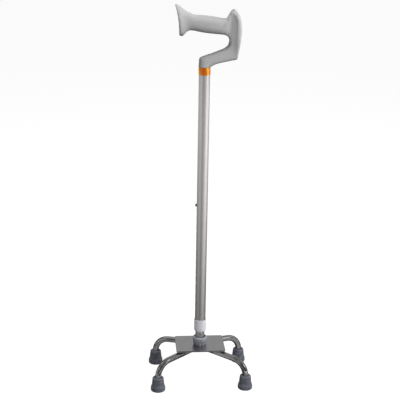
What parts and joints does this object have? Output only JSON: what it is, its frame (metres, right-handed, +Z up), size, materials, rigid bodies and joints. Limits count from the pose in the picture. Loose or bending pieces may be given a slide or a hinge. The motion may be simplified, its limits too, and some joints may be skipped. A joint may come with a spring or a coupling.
{
  "type": "quad cane",
  "caption": "Walking cane with an offset guarded grip on a telescopic tube that locks with a snap button and collar, on a plate with bent tube legs and rubber tips.",
  "frame": {"origin": "on the floor under the shaft's axis, midway between the four tips", "axes": "+Z up along the shaft, the grip runs along X with its open end towards -X, and the snap button faces -X"},
  "size_m": [0.2114, 0.1578, 0.7835],
  "materials": {
    "grip_plastic": "satin moulded grey plastic",
    "orange_trim": "glossy metallic orange",
    "satin_aluminium": "satin",
    "collar_plastic": "satin light grey plastic",
    "chrome": "bright chrome plate",
    "plate_chrome": "satin chrome plate",
    "dark_rubber": "moulded dark blue-grey rubber",
    "socket_rubber": "moulded dark grey rubber",
    "zinc_steel": "zinc plated",
    "spring_steel": "rolled strip",
    "nylon": "moulded nylon",
    "button_steel": "polished"
  },
  "bodies": {
    "base": {"inner_tube": "satin_aluminium", "guide_bush": "nylon", "shaft_socket": "socket_rubber", "tube_insert": "zinc_steel", "base_bolt": "zinc_steel", "base_washer": "zinc_steel", "spring_washer": "zinc_steel", "base_plate": "plate_chrome", "button_spring": "spring_steel", "leg_front_left": "chrome", "leg_front_right": "chrome", "leg_back_left": "chrome", "leg_back_right": "chrome", "tip_front_left": "dark_rubber", "tip_front_right": "dark_rubber", "tip_back_left": "dark_rubber", "tip_back_right": "dark_rubber", "tip_washer_front_left": "zinc_steel", "tip_washer_front_right": "zinc_steel", "tip_washer_back_left": "zinc_steel", "tip_washer_back_right": "zinc_steel"},
    "upper": {"outer_tube": "satin_aluminium", "handle": "grip_plastic", "cross_pin": "zinc_steel", "trim_ring": "orange_trim", "clamp_bush": "nylon"},
    "collar": {"locking_collar": "collar_plastic"},
    "button": {"snap_button": "button_steel"}
  },
  "joints": [
    {"name": "height_slide", "type": "slide", "parent": "base", "child": "upper", "axis": [0, 0, 1], "range_m": [0, 0.228]},
    {"name": "button_press", "type": "slide", "parent": "base", "child": "button", "axis": [1, 0, 0], "range_m": [0, 0.0051], "stiffness_N_per_m": 600, "springref_m": -0.003, "deforming": ["button_spring"]},
    {"name": "collar_turn", "type": "hinge", "parent": "upper", "child": "collar", "pos_m": [0, 0, 0.1165], "axis": [0, 0, -1], "range_deg": [0, 360]}
  ]
}
